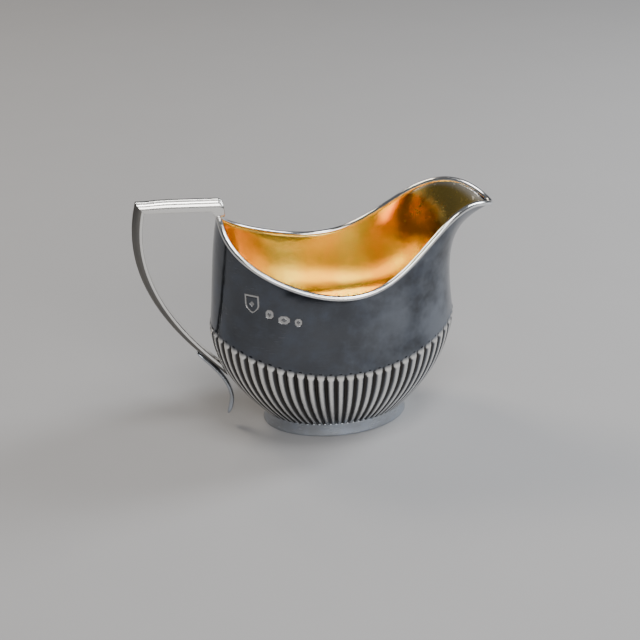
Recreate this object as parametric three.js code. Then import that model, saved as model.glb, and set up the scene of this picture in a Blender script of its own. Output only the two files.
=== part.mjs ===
// An oval half-fluted silver cream jug: a raised body with a let-in base, an oval foot band, an applied
// rim wire and a reeded angular handle with a curled tail.
//
// Millimetres, +Z up. While it is built, the foot's centre is at (0, 0, 0) on the table, the spout
// points along +X and the handle along -X. The group is then moved along X, so that the origin is the
// middle of the whole jug on the table.
import * as THREE from "three";

// Driving dimensions.
const SHEET = 0.8; // thickness of the body's sheet
const GAP = 0.3; // clearance between pieces that are soldered together on the real jug

const FOOT = {
  baseLength: 26.06, // half length of the band where it stands
  baseWidth: 16.8, // half width of the band where it stands
  topLength: 25.58, // half length of the body's lower edge
  topWidth: 16.39, // half width of the body's lower edge
  height: 4.92,
  ease: 0.25, // how far the band's lower outer edge is eased inwards
  easeHeight: 0.35,
  crest: 1.0, // width of the band's top face
  band: 1.8, // from the outer side to the inner side at the table
};

const FLUTES = {
  count: 66,
  even: 0.1, // share of sin 2t that spaces the flutes evenly round the oval
  height: 0.8, // how far a flute's crown stands out from the wall
  groove: 0.2, // how far the line between two flutes lies behind it
  centre: -1.05, // the flutes' tops, seen from above, are an ellipse with its centre here
  length: 42.7,
  width: 28.02,
  middle: 37.47, // the tops' mean height, and how far they rise at the two ends
  rise: 4.76,
  tilt: 0.16,
  flare: 2.1, // power of the sine that carries the fluted wall outwards
  fadeLevel: 0.25, // the relief grows from nothing at the foot to its full height at this level
};

// The rim is a closed curve: each list holds the terms of a cosine series (a sine series for the
// width), mean first, then the half size, then the terms that pull the spout out and lift both ends.
const RIM = {
  along: [4.2, 48.02, 1.32, -0.63, 1.71, -0.28],
  across: [0, 23.55, -0.73, -1.37, 0.25, -0.03],
  up: [72.65, 2.66, 9.81, -3.72, -2.71, -0.93],
  lead: [0.12, 0.11], // how far the rim's angle runs ahead of the wall's
  wire: 0.95, // radius of the applied wire
};

// How the plain wall turns from the flutes' tops to the rim: a high power keeps it upright for
// longer before it swings out, and the waist is how far it leans in half way up.
const WALL = {
  frontPower: 7,
  sidePower: 2.8,
  backPower: 3.4,
  frontWaist: 1.6,
  backWaist: 0.9,
};

const BASE = {
  inset: 1.3, // from the body's lower edge to the plate's edge
  thickness: 0.9,
  lift: 0.05, // the plate's underside lies this far above the top of the foot
  dome: 0.8, // rise of the plate's middle
  domeInset: 9, // from the plate's edge to where the dome is flat
  shoulderInset: 3, // from the plate's edge to where the dome has half its rise
};

const HANDLE = {
  corner: new THREE.Vector2(-64.1, 85.9), // inner corner of the mitre
  slope: THREE.MathUtils.degToRad(3.7), // the rail falls towards the body
  railEnd: -37.9,
  railWidth: 4.8,
  railFacet: 2.2,
  crown: 1.8, // rise of the reeded face above the flat sides
  strapGrip: new THREE.Vector2(-68.5, 66.7),
  strapBelly: new THREE.Vector2(-59.9, 46.6),
  strapEnd: new THREE.Vector2(-42.0, 27.1),
  footLow: 0.66, // the strap's end is cut parallel to the wall between these two levels
  footHigh: 0.76,
  strapFacet: 1.6,
  endWidth: 3.8,
  endFacet: 1.2,
  endCrown: 1.0,
};

// The rail at set distances back from its end: how far its flat inner face has turned down towards the
// wire, as a share of the way there, and how much of its crown is left.
const RAIL_END = [
  { back: 5.2, drop: 0, crown: 1 },
  { back: 4.4, drop: 0.12, crown: 1 },
  { back: 3.6, drop: 0.75, crown: 1 },
  { back: 2.9, drop: 1, crown: 0.97 },
  { back: 1.3, drop: 1, crown: 0.75 },
  { back: 0.4, drop: 1, crown: 0.35 },
  { back: 0, drop: 1, crown: 0.05 },
];

// The reeded face of the handle, as shares of its width and of its crown: a high middle reed between
// two lower ones.
const REEDS = [
  { across: -0.31, rise: 0.74 },
  { across: -0.16, rise: 0.78 },
  { across: 0, rise: 1 },
  { across: 0.16, rise: 0.78 },
  { across: 0.31, rise: 0.74 },
];

const TAIL = {
  start: new THREE.Vector2(-49.5, 30.2),
  bend: new THREE.Vector2(-41.9, 22.9),
  drop: new THREE.Vector2(-34.1, 13.6),
  end: new THREE.Vector2(-39.1, 4.3),
  width: 4.0,
  thickness: 1.6,
  rounding: 0.97, // how nearly the section closes at both ends
  roundingPower: 6, // a high power keeps the rounding close to the ends
};

// How finely the pieces are cut into flat faces.
const WIRE_STEPS = 90;
const WIRE_SIDES = 6;
const OVAL_STEPS = 60;
const STRAP_STEPS = 26;
const TAIL_STEPS = 14;
const FLUTED_LEVELS = [0, 0.16, 0.32, 0.48, 0.64, 0.8, 0.93];
const PLAIN_SHARES = [0, 0.14, 0.3, 0.46, 0.62, 0.77, 0.9, 1]; // from the flutes' tops to the edge
const INNER_SHARES = [1, 0.82, 0.6, 0.35, 0.1];
const INNER_LEVELS = [0.8, 0.55, 0.28, 0];
const RAIL_SHARES = [0.25, 0.5];
const TAIL_SIDES = 8;

const TURN = 2 * Math.PI;
const STEP = 0.01; // a small change of an angle or a level, for slopes

const SILVER = { color: 0xc4c6c8, metalness: 1.0, roughness: 0.18 };
const BRIGHT_SILVER = { color: 0xe4e4e2, metalness: 1.0, roughness: 0.12 };
const UNDERSIDE_SILVER = { color: 0xa9abad, metalness: 1.0, roughness: 0.3 };

// The part's group, and a helper that adds one named piece to it.
const jug = new THREE.Group();

function addPiece(name, geometry, finish) {
  const mesh = new THREE.Mesh(geometry, new THREE.MeshStandardMaterial(finish));
  mesh.name = name;
  jug.add(mesh);
}

// A skin over rings of points, each ring closed on itself. As a hoop, the last ring joins the first.
// Otherwise a fan round each end ring's middle closes the skin.
function skin(rings, hoop) {
  const size = rings[0].length;
  const points = rings.flat();
  const faces = [];
  const spans = hoop ? rings.length : rings.length - 1;
  for (let i = 0; i < spans; i += 1) {
    const here = i * size;
    const next = ((i + 1) % rings.length) * size;
    for (let j = 0; j < size; j += 1) {
      const k = (j + 1) % size;
      faces.push(here + j, here + k, next + k);
      faces.push(here + j, next + k, next + j);
    }
  }
  if (!hoop) {
    const lastRing = (rings.length - 1) * size;
    const firstMiddle = points.push(middleOf(rings[0])) - 1;
    const lastMiddle = points.push(middleOf(rings[rings.length - 1])) - 1;
    for (let j = 0; j < size; j += 1) {
      const k = (j + 1) % size;
      faces.push(firstMiddle, k, j);
      faces.push(lastMiddle, lastRing + j, lastRing + k);
    }
  }
  const geometry = new THREE.BufferGeometry().setFromPoints(points);
  geometry.setIndex(faces);
  geometry.computeVertexNormals();
  return geometry;
}

function middleOf(ring) {
  const middle = new THREE.Vector3();
  ring.forEach((point) => middle.add(point));
  return middle.divideScalar(ring.length);
}

// Angles evenly round the jug: 0 at the spout, half a turn at the handle.
function angles(count) {
  return Array.from({ length: count }, (_, i) => (TURN * i) / count);
}

// The angles of the grooves and crowns in turn, spaced evenly along the oval. A groove lies at the spout.
function fluteAngles() {
  return angles(2 * FLUTES.count).map((turn) => turn + FLUTES.even * Math.sin(2 * turn));
}

function mix(from, to, share) {
  return from + (to - from) * share;
}

// The three curves that carry the wall, each at angle t: the body's lower edge, the flutes' tops
// and the rim.
function lowerEdge(t) {
  return new THREE.Vector3(FOOT.topLength * Math.cos(t), FOOT.topWidth * Math.sin(t), FOOT.height);
}

function fluteTop(t) {
  const x = FLUTES.centre + FLUTES.length * Math.cos(t);
  const y = FLUTES.width * Math.sin(t);
  const z = FLUTES.middle + FLUTES.tilt * Math.cos(t) + FLUTES.rise * Math.cos(2 * t);
  return new THREE.Vector3(x, y, z);
}

function rim(t) {
  const turn = t + RIM.lead[0] * Math.sin(t) + RIM.lead[1] * Math.sin(2 * t);
  const series = (terms, wave) => terms.reduce((sum, term, k) => sum + term * wave(k * turn), 0);
  return new THREE.Vector3(
    series(RIM.along, Math.cos),
    series(RIM.across, Math.sin),
    series(RIM.up, Math.cos),
  );
}

// The wall's outside without its flutes. level runs from 0 at the foot through 1 at the flutes' tops
// to 2 at the rim. Below the tops the wall is an arc that starts as a straight flare and ends upright.
function wall(t, level) {
  const top = fluteTop(t);
  if (level <= 1) {
    const swing = (level * Math.PI) / 2;
    const edge = lowerEdge(t);
    const out = Math.sin(swing) ** FLUTES.flare;
    const up = 1 - Math.cos(swing);
    return new THREE.Vector3(
      mix(edge.x, top.x, out),
      mix(edge.y, top.y, out),
      mix(edge.z, top.z, up),
    );
  }
  const share = level - 1;
  const front = (1 + Math.cos(t)) / 2;
  const ends = mix(WALL.backPower, WALL.frontPower, front);
  const power = mix(WALL.sidePower, ends, Math.cos(t) ** 2);
  const waist = WALL.frontWaist * front ** 2 + WALL.backWaist * (1 - front) ** 2;
  const lean = waist * Math.sin(Math.PI * share);
  const across = new THREE.Vector2(
    Math.cos(t) / FLUTES.length,
    Math.sin(t) / FLUTES.width,
  ).normalize();
  const point = top.clone().lerp(rim(t), share ** power);
  point.z = mix(top.z, rim(t).z, share);
  point.x -= lean * across.x;
  point.y -= lean * across.y;
  return point;
}

function wallNormal(t, level) {
  const low = Math.max(level - STEP, 0);
  const high = Math.min(level + STEP, 2);
  const around = wall(t + STEP, level).sub(wall(t - STEP, level));
  const upward = wall(t, high).sub(wall(t, low));
  return around.cross(upward).normalize();
}

function rimWay(t) {
  return rim(t + STEP).sub(rim(t - STEP)).normalize();
}

// The level of the sheet's upper edge: as near to the wire as the gap allows, measured square to the rim.
function edgeLevel(t) {
  const along = rimWay(t);
  const down = wall(t, 2 - STEP).sub(rim(t)).divideScalar(STEP);
  const pace = new THREE.Vector3().crossVectors(along, down).length();
  return 2 - (RIM.wire + 1.5 * GAP) / pace;
}

// The body is one sheet, from its lower edge out over the flutes, up to the rim and back down inside.
function bodyShell() {
  const ts = fluteAngles();
  const plainLevel = (t, share) => mix(1, edgeLevel(t), share);
  const outside = (t, level, lift) => wall(t, level).addScaledVector(wallNormal(t, level), lift);
  const relief = (column) => (column % 2 === 1 ? FLUTES.height : -FLUTES.groove);
  const grown = (level) => Math.min(1, level / FLUTES.fadeLevel);
  const flutedRing = (level) => ts.map((t, i) => outside(t, level, relief(i) * grown(level)));
  const plainRing = (share, lift) => ts.map((t) => outside(t, plainLevel(t, share), lift));
  const rings = [
    ...FLUTED_LEVELS.map((level) => flutedRing(level)),
    ...PLAIN_SHARES.map((share) => plainRing(share, 0)),
    ...INNER_SHARES.map((share) => plainRing(share, -SHEET)),
    ...INNER_LEVELS.map((level) => ts.map((t) => outside(t, level, -SHEET))),
  ];
  return skin(rings, true);
}

// A ring of points on the foot's oval, drawn in by an inset from its standing edge.
function ovalRing(inset, z) {
  return angles(OVAL_STEPS).map(
    (t) =>
      new THREE.Vector3(
        (FOOT.baseLength - inset) * Math.cos(t),
        (FOOT.baseWidth - inset) * Math.sin(t),
        z,
      ),
  );
}

// The foot is a plain oval band, wider at the table.
function footRing() {
  const top = FOOT.height - GAP;
  const taper = FOOT.baseLength - FOOT.topLength;
  const rings = [
    ovalRing(FOOT.ease, 0),
    ovalRing(0, FOOT.easeHeight),
    ovalRing(taper, top),
    ovalRing(taper + FOOT.crest, top),
    ovalRing(FOOT.band, top / 2),
    ovalRing(FOOT.band, 0),
  ];
  return skin(rings, true);
}

// The base is a thin oval plate, domed upwards a little in its middle.
function basePlate() {
  const inset = FOOT.baseLength - FOOT.topLength + BASE.inset;
  const bottom = FOOT.height + BASE.lift;
  const top = bottom + BASE.thickness;
  const shoulder = inset + BASE.shoulderInset;
  const middle = inset + BASE.domeInset;
  const rings = [
    ovalRing(middle, bottom + BASE.dome),
    ovalRing(shoulder, bottom + BASE.dome / 2),
    ovalRing(inset, bottom),
    ovalRing(inset, top),
    ovalRing(shoulder, top + BASE.dome / 2),
    ovalRing(middle, top + BASE.dome),
  ];
  return skin(rings, false);
}

// The rim wire is a round wire that follows the rim all the way round.
function rimWire() {
  const rings = angles(WIRE_STEPS).map((t) => {
    const along = rimWay(t);
    const out = wallNormal(t, 2);
    out.addScaledVector(along, -out.dot(along)).normalize();
    const up = new THREE.Vector3().crossVectors(out, along);
    return angles(WIRE_SIDES).map((turn) =>
      rim(t)
        .addScaledVector(out, RIM.wire * Math.cos(turn))
        .addScaledVector(up, -RIM.wire * Math.sin(turn)),
    );
  });
  return skin(rings, true);
}

// The reeded section of the handle: [depth outwards from its flat inner face, place across it].
function reededSection(width, facet, crown) {
  return [
    [0, width / 2],
    [0, -width / 2],
    [facet, -width / 2],
    ...REEDS.map(({ across, rise }) => [facet + rise * crown, across * width]),
    [facet, width / 2],
  ];
}

// A section set at a point of the handle's upright plane, its depth running along a direction there.
function setSection(section, at, depthway) {
  return section.map(
    ([depth, across]) =>
      new THREE.Vector3(at.x + depthway.x * depth, across, at.y + depthway.y * depth),
  );
}

const strapCurve = new THREE.CubicBezierCurve(
  HANDLE.corner,
  HANDLE.strapGrip,
  HANDLE.strapBelly,
  HANDLE.strapEnd,
);
const railWay = new THREE.Vector2(Math.cos(HANDLE.slope), -Math.sin(HANDLE.slope));
const strapWay = strapCurve.getTangent(0);
const mitre = mitreAcross(railWay, strapWay);

// The mitre's direction for one unit of depth on either piece.
function mitreAcross(first, second) {
  const away = first.clone().add(second).normalize().negate();
  const half = first.angleTo(second) / 2;
  return away.divideScalar(Math.sin(half));
}

// The rail runs from the mitre to the rim, where its end is turned down to stand on the wire.
function handleRail() {
  const upright = new THREE.Vector2(-railWay.y, railWay.x);
  const length = (HANDLE.railEnd - HANDLE.corner.x) / railWay.x;
  const wireTop = rim(Math.PI).z + RIM.wire + GAP;
  const section = reededSection(HANDLE.railWidth, HANDLE.railFacet, HANDLE.crown);
  const start = HANDLE.corner.clone().addScaledVector(railWay, GAP / 2);
  const rings = [setSection(section, start, mitre)];
  RAIL_SHARES.forEach((share) => {
    const at = HANDLE.corner.clone().addScaledVector(railWay, share * length);
    rings.push(setSection(section, at, upright));
  });
  RAIL_END.forEach(({ back, drop, crown }) => {
    const at = HANDLE.corner.clone().addScaledVector(railWay, length - back);
    const lowering = drop * (at.y - wireTop);
    at.y -= lowering;
    const facet = HANDLE.railFacet + lowering;
    rings.push(setSection(reededSection(HANDLE.railWidth, facet, HANDLE.crown * crown), at, upright));
  });
  return skin(rings.map((ring) => ring.reverse()), false);
}

// The strap leaves the mitre downwards, sweeps in and ends against the flutes, narrower and thinner.
function handleStrap() {
  const rings = [];
  for (let i = 0; i <= STRAP_STEPS; i += 1) {
    const share = i / STRAP_STEPS;
    const way = strapCurve.getTangent(share);
    const at = strapCurve.getPoint(share);
    const fining = share ** 2;
    const section = reededSection(
      mix(HANDLE.railWidth, HANDLE.endWidth, fining),
      mix(HANDLE.strapFacet, HANDLE.endFacet, fining),
      mix(HANDLE.crown, HANDLE.endCrown, fining),
    );
    let depthway = new THREE.Vector2(way.y, -way.x);
    if (i === 0) {
      depthway = mitre;
      at.addScaledVector(way, GAP / 2);
    }
    if (i === STRAP_STEPS) {
      const low = wall(Math.PI, HANDLE.footLow);
      const high = wall(Math.PI, HANDLE.footHigh);
      const wallway = new THREE.Vector2(low.x - high.x, low.z - high.z).normalize();
      depthway = wallway.divideScalar(wallway.dot(depthway));
    }
    rings.push(setSection(section, at, depthway));
  }
  return skin(rings, false);
}

// The tail is a rounded tongue laid under the strap's foot, which hangs clear of the body and
// curls back at its end.
function handleTail() {
  const curve = new THREE.CubicBezierCurve(TAIL.start, TAIL.bend, TAIL.drop, TAIL.end);
  const rings = [];
  for (let i = 0; i <= TAIL_STEPS; i += 1) {
    const share = i / TAIL_STEPS;
    const rounding = Math.sqrt(1 - TAIL.rounding * (2 * share - 1) ** TAIL.roundingPower);
    const way = curve.getTangent(share);
    const at = curve.getPoint(share);
    rings.push(
      angles(TAIL_SIDES).map((turn) => {
        const depth = (TAIL.thickness / 2) * rounding * Math.cos(turn);
        const across = (TAIL.width / 2) * rounding * Math.sin(turn);
        return new THREE.Vector3(at.x + way.y * depth, across, at.y - way.x * depth);
      }),
    );
  }
  return skin(rings, false);
}

addPiece("body_shell", bodyShell(), SILVER);
addPiece("base_plate", basePlate(), UNDERSIDE_SILVER);
addPiece("foot_ring", footRing(), SILVER);
addPiece("rim_wire", rimWire(), BRIGHT_SILVER);
addPiece("handle_rail", handleRail(), BRIGHT_SILVER);
addPiece("handle_strap", handleStrap(), BRIGHT_SILVER);
addPiece("handle_tail", handleTail(), SILVER);

// The origin goes to the middle of the whole jug, on the table.
const extent = new THREE.Box3().setFromObject(jug);
jug.position.x = -(extent.min.x + extent.max.x) / 2;

export default jug;
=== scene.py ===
"""A half-fluted silver cream jug with a gilt bowl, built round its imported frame.

Lengths in the classes are millimetres, with the foot's middle at x = 0, the table at z = 0, the
spout along +X and the handle along -X. They become metres in the frame's own place when a mesh is made.
"""

from __future__ import annotations

import logging
import math
from collections.abc import Mapping, Sequence
from dataclasses import dataclass
from enum import Enum

import bpy
import numpy as np
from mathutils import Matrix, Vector

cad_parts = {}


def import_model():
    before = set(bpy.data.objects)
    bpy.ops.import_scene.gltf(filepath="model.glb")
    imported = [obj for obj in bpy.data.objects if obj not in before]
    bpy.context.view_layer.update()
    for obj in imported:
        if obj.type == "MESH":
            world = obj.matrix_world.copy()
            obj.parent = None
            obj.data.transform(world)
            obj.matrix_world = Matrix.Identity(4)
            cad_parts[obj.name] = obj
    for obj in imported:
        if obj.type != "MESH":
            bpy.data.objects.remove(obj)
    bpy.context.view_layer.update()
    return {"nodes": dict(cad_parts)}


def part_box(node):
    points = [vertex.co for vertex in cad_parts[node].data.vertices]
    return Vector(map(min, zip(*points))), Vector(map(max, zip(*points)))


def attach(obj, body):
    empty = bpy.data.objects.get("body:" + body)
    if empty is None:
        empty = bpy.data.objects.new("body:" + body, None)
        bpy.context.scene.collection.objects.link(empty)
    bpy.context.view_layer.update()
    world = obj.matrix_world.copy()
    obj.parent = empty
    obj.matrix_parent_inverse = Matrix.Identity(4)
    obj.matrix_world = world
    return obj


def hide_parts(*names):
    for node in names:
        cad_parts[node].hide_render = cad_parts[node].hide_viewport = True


LOG = logging.getLogger("cream_jug")
MM = 0.001
TURN = 2 * np.pi
STEP = 1e-3  # small change of a parameter, for slopes and normals


# ---------------------------------------------------------------------------- shape helpers


def mix(low: np.ndarray | float, high: np.ndarray | float, share: np.ndarray | float) -> np.ndarray | float:
    """Gives low where share is 0 and high where it is 1."""
    return low + (high - low) * share


def smooth(edge: np.ndarray | float, full: np.ndarray | float, value: np.ndarray) -> np.ndarray:
    """Rises from 0 at edge to 1 at full, level at both."""
    share = np.clip((value - edge) / (full - edge), 0, 1)
    return share * share * (3 - 2 * share)


def unit(vectors: np.ndarray) -> np.ndarray:
    """Scales each vector to length 1."""
    return vectors / np.linalg.norm(vectors, axis=-1, keepdims=True)


@dataclass(frozen=True)
class Workshop:
    """Makes finished Blender objects out of grids of points.

    Attributes:
        offset: Where the foot's middle stands along X in the frame, in metres.
    """

    offset: float

    def piece(
        self,
        name: str,
        rows: np.ndarray,
        material: bpy.types.Material,
        hoop: bool = False,
        traits: Mapping[str, np.ndarray] | None = None,
    ) -> bpy.types.Object:
        """Makes a closed mesh object from rows of points, each row a closed ring.

        Args:
            name: The piece's name.
            rows: Points in millimetres, shaped (rows, columns, 3). Seen from outside, the columns
                run to the right while the rows run up.
            material: What it is dressed in.
            hoop: True joins the last row to the first. Otherwise a fan closes each end.
            traits: Numbers for each point, shaped (rows, columns), kept as mesh attributes.

        Returns:
            The finished object, at the origin and unturned.
        """
        count, size = rows.shape[:2]
        i = np.arange(count if hoop else count - 1)[:, None]
        j = np.arange(size)[None, :]
        here, above = i * size, ((i + 1) % count) * size
        right = (j + 1) % size
        quads = np.stack([here + j, here + right, above + right, above + j], -1).reshape(-1, 4)
        points = rows.reshape(-1, 3)
        values = {key: np.asarray(trait, float).ravel() for key, trait in (traits or {}).items()}
        fans = np.empty((0, 3), int)
        if not hoop:
            ends = np.stack([rows[0].mean(0), rows[-1].mean(0)])
            base, tip = len(points), len(points) + 1
            points = np.concatenate([points, ends])
            around = np.arange(size)
            after = (around + 1) % size
            last = (count - 1) * size
            bottom = np.stack([np.full(size, base), after, around], -1)
            top = np.stack([np.full(size, tip), last + around, last + after], -1)
            fans = np.concatenate([bottom, top])
            values = {
                key: np.concatenate([trait, [trait[:size].mean(), trait[-size:].mean()]])
                for key, trait in values.items()
            }
        placed = points * MM + [self.offset, 0, 0]
        mesh = self._mesh(name, placed, quads, fans)
        for key, trait in values.items():
            mesh.attributes.new(key, "FLOAT", "POINT").data.foreach_set("value", trait.astype(np.float32))
        mesh.materials.append(material)
        thing = bpy.data.objects.new(name, mesh)
        bpy.context.scene.collection.objects.link(thing)
        LOG.info("%s: %d points, %d faces", name, len(points), len(quads) + len(fans))
        return thing

    @staticmethod
    def _mesh(name: str, points: np.ndarray, quads: np.ndarray, fans: np.ndarray) -> bpy.types.Mesh:
        """Fills a new mesh, shaded smooth all over.

        Args:
            name: The mesh's name.
            points: Points in metres, shaped (points, 3).
            quads: The four-sided faces' point numbers, shaped (faces, 4).
            fans: The three-sided faces' point numbers, shaped (faces, 3).

        Returns:
            The mesh.
        """
        mesh = bpy.data.meshes.new(name)
        corners = np.concatenate([quads.ravel(), fans.ravel()]).astype(np.int32)
        starts = np.concatenate(
            [np.arange(len(quads)) * 4, quads.size + np.arange(len(fans)) * 3]
        ).astype(np.int32)
        mesh.vertices.add(len(points))
        mesh.vertices.foreach_set("co", points.astype(np.float32).ravel())
        mesh.loops.add(len(corners))
        mesh.loops.foreach_set("vertex_index", corners)
        mesh.polygons.add(len(starts))
        mesh.polygons.foreach_set("loop_start", starts)
        mesh.update(calc_edges=True)
        mesh.validate()
        mesh.polygons.foreach_set("use_smooth", np.ones(len(mesh.polygons), bool))
        return mesh


# ---------------------------------------------------------------------------- shader helpers


class Board:
    """One material's node tree, and the only place where its nodes are made."""

    def __init__(self, name: str) -> None:
        """Starts a material that holds a Principled shader and its output alone.

        Args:
            name: The material's name.
        """
        self.material = bpy.data.materials.new(name)
        self.material.use_nodes = True
        self.tree = self.material.node_tree
        self.shader = self.tree.nodes["Principled BSDF"]

    def node(
        self,
        kind: str,
        settings: Mapping[str, object] | None = None,
        inputs: Mapping[str | int, object] | None = None,
    ) -> bpy.types.Node:
        """Adds a node.

        Args:
            kind: The node's type, without its ShaderNode prefix.
            settings: Its own properties, set first.
            inputs: Its sockets by name or number, each given a link, a Signal or a plain value.

        Returns:
            The new node.
        """
        made = self.tree.nodes.new("ShaderNode" + kind)
        for key, value in (settings or {}).items():
            setattr(made, key, value)
        for key, value in (inputs or {}).items():
            self.feed(made.inputs[key], value)
        return made

    def feed(self, socket: bpy.types.NodeSocket, value: object) -> None:
        """Links a socket to a Signal or an output, or sets it to a plain value."""
        source = value.socket if isinstance(value, Signal) else value
        if isinstance(source, bpy.types.NodeSocket):
            self.tree.links.new(source, socket)
        else:
            socket.default_value = source

    def place(self) -> bpy.types.NodeSocket:
        """Gives the Object coordinates."""
        return self.node("TexCoord").outputs["Object"]

    def axes(self, vector: bpy.types.NodeSocket) -> tuple[Signal, Signal, Signal]:
        """Splits a vector into its three numbers."""
        split = self.node("SeparateXYZ", inputs={0: vector})
        return tuple(Signal(self, output) for output in split.outputs)

    def trait(self, name: str) -> Signal:
        """Reads a number that the mesh keeps for each point."""
        return Signal(self, self.node("Attribute", {"attribute_name": name}).outputs["Fac"])

    def noise(self, vector: object, scale: float, detail: float = 3.0, roughness: float = 0.5) -> Signal:
        """Gives soft noise between 0 and 1, with scale features to a metre."""
        inputs = {"Vector": vector, "Scale": scale, "Detail": detail, "Roughness": roughness}
        return Signal(self, self.node("TexNoise", inputs=inputs).outputs["Fac"])

    def turned(
        self, vector: object, angles: Sequence[float], scale: Sequence[float]
    ) -> bpy.types.NodeSocket:
        """Stretches coordinates and then turns them.

        Args:
            vector: The coordinates.
            angles: How far they turn about each axis, in degrees.
            scale: How far they are stretched along each.

        Returns:
            The new coordinates.
        """
        turns = tuple(math.radians(angle) for angle in angles)
        inputs = {"Vector": vector, "Rotation": turns, "Scale": tuple(scale)}
        return self.node("Mapping", inputs=inputs).outputs[0]

    def blend(self, factor: object, low: object, high: object) -> bpy.types.NodeSocket:
        """Mixes two colours.

        Args:
            factor: The share of high, from 0 to 1.
            low: The colour where the factor is 0, as a link or as three numbers.
            high: The colour where it is 1, in either way.

        Returns:
            The mixed colour.
        """
        first, second = (
            (*colour, 1.0) if isinstance(colour, tuple) and len(colour) == 3 else colour
            for colour in (low, high)
        )
        settings = {"data_type": "RGBA", "clamp_factor": True}
        return self.node("Mix", settings, {0: factor, 6: first, 7: second}).outputs[2]

    def bump(
        self, height: Signal, strength: float, depth: float, under: object = None
    ) -> bpy.types.NodeSocket:
        """Turns a height into a normal.

        Args:
            height: The relief, from 0 to 1.
            strength: How strongly it shows.
            depth: How deep the whole relief is, in metres.
            under: Another normal, which this one is laid over.

        Returns:
            The normal.
        """
        inputs = {"Strength": strength, "Distance": depth, "Height": height}
        if under is not None:
            inputs["Normal"] = under
        return self.node("Bump", inputs=inputs).outputs[0]

    def finish(self, links: Mapping[str, object]) -> bpy.types.Material:
        """Feeds the shader.

        Args:
            links: What goes into the shader's sockets, by their names.

        Returns:
            The finished material.
        """
        for key, value in links.items():
            self.feed(self.shader.inputs[key], value)
        return self.material


class Signal:
    """A number on a board that Python's operators turn into Math nodes."""

    def __init__(self, board: Board, socket: bpy.types.NodeSocket) -> None:
        """Wraps an output socket."""
        self.board = board
        self.socket = socket

    def _math(self, operation: str, *terms: object) -> Signal:
        """Adds a Math node on the terms."""
        made = self.board.node("Math", {"operation": operation}, dict(enumerate(terms)))
        return Signal(self.board, made.outputs[0])

    def __add__(self, other: Signal | float) -> Signal:
        """Adds."""
        return self._math("ADD", self, other)

    __radd__ = __add__

    def __sub__(self, other: Signal | float) -> Signal:
        """Takes other away."""
        return self._math("SUBTRACT", self, other)

    def __rsub__(self, other: float) -> Signal:
        """Takes this away from other."""
        return self._math("SUBTRACT", other, self)

    def __mul__(self, other: Signal | float) -> Signal:
        """Multiplies."""
        return self._math("MULTIPLY", self, other)

    __rmul__ = __mul__

    def __truediv__(self, other: Signal | float) -> Signal:
        """Divides by other."""
        return self._math("DIVIDE", self, other)

    def __rtruediv__(self, other: float) -> Signal:
        """Divides other by this."""
        return self._math("DIVIDE", other, self)

    def __pow__(self, power: Signal | float) -> Signal:
        """Raises to a power."""
        return self._math("POWER", self, power)

    def __rpow__(self, other: float) -> Signal:
        """Raises other to this power."""
        return self._math("POWER", other, self)

    def __abs__(self) -> Signal:
        """Drops the sign."""
        return self._math("ABSOLUTE", self)

    def most(self, other: Signal | float) -> Signal:
        """Gives the larger of the two."""
        return self._math("MAXIMUM", self, other)

    def rise(self, low: float, high: float) -> Signal:
        """Eases from 0 to 1.

        Args:
            low: Where it is 0.
            high: Where it is 1, above low or below it.

        Returns:
            The eased number.
        """
        settings = {"interpolation_type": "SMOOTHSTEP"}
        values = (low, high, 0.0, 1.0) if low < high else (high, low, 1.0, 0.0)
        inputs = dict(enumerate((self, *values)))
        return Signal(self.board, self.board.node("MapRange", settings, inputs).outputs[0])


# ---------------------------------------------------------------------------- finishes


class Polish(Enum):
    """How brightly a silver surface has been kept, as its colour, and its roughness; the plain wall's
    colour is painted dark, as a painted reflection.
    """

    # The plain wall's colour is painted near black, about a tenth of silver's, as a painted reflection of
    # dark surroundings.
    WALL_PAINTED_DARK = ((0.105, 0.112, 0.126), 0.12)
    WIRE = ((0.95, 0.94, 0.92), 0.14)
    REEDS = ((0.80, 0.79, 0.76), 0.16)
    BAND = ((0.52, 0.55, 0.59), 0.2)
    UNDERSIDE = ((0.50, 0.49, 0.47), 0.38)


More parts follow.
